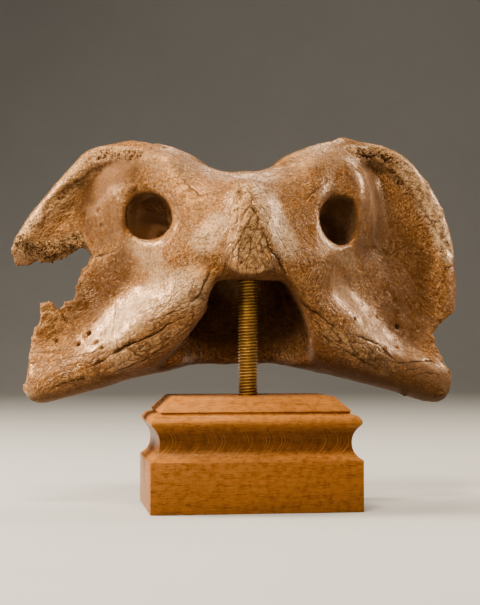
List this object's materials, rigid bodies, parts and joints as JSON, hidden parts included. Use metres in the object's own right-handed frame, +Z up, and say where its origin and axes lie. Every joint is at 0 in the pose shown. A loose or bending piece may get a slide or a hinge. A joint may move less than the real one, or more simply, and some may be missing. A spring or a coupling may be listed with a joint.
{
  "type": "mounted fossil bison vertebra",
  "caption": "Fossil bison atlas, a neck vertebra with spread wings and a broken left margin, held up on a threaded brass rod in a moulded wooden base",
  "frame": {"origin": "middle of the base's underside, on the surface that it stands on", "axes": "+Z is up; -Y is the front, where the bone's upper face looks; +X is to the viewer's right, along the bone's breadth"},
  "size_m": [0.235, 0.0981, 0.1893],
  "materials": {
    "bone": "waxed fossil bone",
    "brass": "bright thread, lightly tarnished",
    "wood": "satin varnish"
  },
  "bodies": {
    "root": {"vertebra": "bone", "rod": "brass", "base": "wood"}
  },
  "joints": []
}
